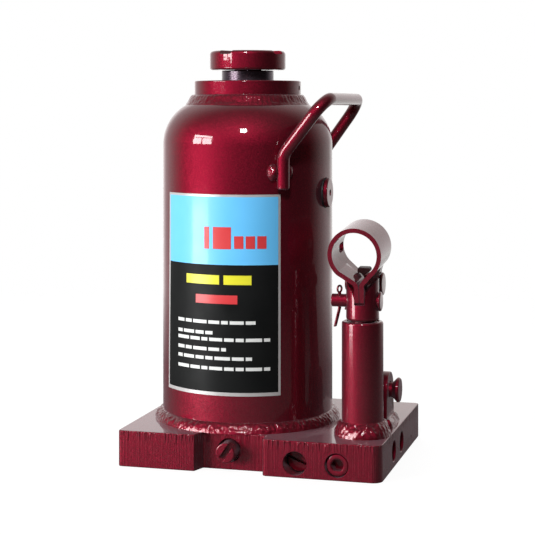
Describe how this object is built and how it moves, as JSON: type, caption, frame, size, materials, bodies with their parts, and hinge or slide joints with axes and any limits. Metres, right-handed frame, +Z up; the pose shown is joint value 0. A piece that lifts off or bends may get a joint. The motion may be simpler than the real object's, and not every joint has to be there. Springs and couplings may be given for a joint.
{
  "type": "bottle jack",
  "caption": "Welded hydraulic bottle jack: block base, round reservoir, screw-out saddle, hand pump with a clamp-type handle socket and link, release valve, and a bent-rod carry handle.",
  "frame": {"origin": "on the ram's axis, at the underside of the base plate", "axes": "+Z up along the ram; -Y is the front, with the release valve and the label; +X is the pump's side"},
  "size_m": [0.145, 0.116, 0.2264],
  "materials": {
    "candy_red_paint": "gloss metallic candy red with fine flake",
    "bright_steel": "bright",
    "dark_steel": "dark, oiled thread",
    "ground_steel": "ground and polished",
    "copper": "plain",
    "bronze": "plain",
    "rubber": "matt",
    "label": "printed film, satin gloss"
  },
  "bodies": {
    "root": {"base_plate": "candy_red_paint", "bracket_weld": "candy_red_paint", "carry_handle": "candy_red_paint", "cylinder_gasket": "copper", "cylinder_top_seal": "copper", "delivery_ball": "bright_steel", "delivery_plug": "candy_red_paint", "delivery_spring": "bright_steel", "hydraulic_cylinder": "bright_steel", "link_bracket": "candy_red_paint", "lower_link_cotter": "candy_red_paint", "lower_link_pin": "candy_red_paint", "pressure_plug": "candy_red_paint", "pump_cylinder": "candy_red_paint", "pump_gland_ring": "bronze", "pump_rod_seal": "rubber", "pump_weld": "candy_red_paint", "ram_wiper": "rubber", "rating_label": "label", "reservoir_shell": "candy_red_paint", "safety_ball": "bright_steel", "safety_screw": "candy_red_paint", "safety_spring": "bright_steel", "shell_weld": "candy_red_paint", "suction_ball": "bright_steel", "suction_plug": "candy_red_paint", "suction_washer": "copper", "top_nut": "candy_red_paint", "top_weld": "candy_red_paint"},
    "ram": {"ram": "ground_steel", "piston_seal": "rubber", "piston_ring": "bronze"},
    "saddle": {"saddle": "candy_red_paint", "saddle_retaining_ring": "bright_steel"},
    "extension_screw": {"extension_screw": "dark_steel"},
    "plunger": {"pump_plunger": "candy_red_paint", "plunger_seal": "rubber", "plunger_pin": "candy_red_paint", "plunger_cotter": "candy_red_paint"},
    "handle_socket": {"handle_socket": "candy_red_paint", "handle_stop": "candy_red_paint"},
    "link": {"link_arm": "candy_red_paint", "fulcrum_pin": "candy_red_paint", "fulcrum_cotter": "candy_red_paint"},
    "release_ball": {"release_ball": "bright_steel"},
    "release_spindle": {"release_spindle": "candy_red_paint", "release_seal": "rubber"},
    "filler": {"filler_plug": "candy_red_paint", "filler_seal": "rubber"}
  },
  "joints": [
    {"name": "ram_lift", "type": "slide", "parent": "root", "child": "ram", "axis": [0, 0, 1], "range_m": [0, 0.14]},
    {"name": "extension_rise", "type": "slide", "parent": "ram", "child": "saddle", "axis": [0, 0, 1], "range_m": [0, 0.0601]},
    {"name": "screw_turn", "type": "hinge", "parent": "saddle", "child": "extension_screw", "pos_m": [0, 0, 0.1], "axis": [0, 0, 1], "range_deg": [0, 4320]},
    {"name": "pump_stroke", "type": "slide", "parent": "root", "child": "plunger", "axis": [0, 0, 1], "range_m": [0, 0.0152]},
    {"name": "socket_swing", "type": "hinge", "parent": "plunger", "child": "handle_socket", "pos_m": [0.0733, -0.032, 0.0908], "axis": [-1, 0, 0], "range_deg": [0, 40.3]},
    {"name": "link_rock", "type": "hinge", "parent": "root", "child": "link", "pos_m": [0.0733, -0.0025, 0.0384], "axis": [1, 0, 0], "range_deg": [0, 0.5]},
    {"name": "release_lift", "type": "slide", "parent": "root", "child": "release_ball", "axis": [0, -1, 0], "range_m": [0, 0.0015]},
    {"name": "release_turn", "type": "hinge", "parent": "release_ball", "child": "release_spindle", "pos_m": [0.004, -0.058, 0.0105], "axis": [0, -1, 0], "range_deg": [0, 540]},
    {"name": "filler_plug_pull", "type": "slide", "parent": "root", "child": "filler", "axis": [1, 0, 0], "range_m": [0, 0.01]}
  ],
  "couplings": [
    {"joint": "extension_rise", "follows": "screw_turn", "m_per_rad": 0.00079577},
    {"joint": "socket_swing", "follows": "pump_stroke", "rad_per_m": 46.16},
    {"joint": "link_rock", "follows": "pump_stroke", "rad_per_m": 0.566},
    {"joint": "release_turn", "follows": "release_lift", "rad_per_m": 6283.2}
  ]
}
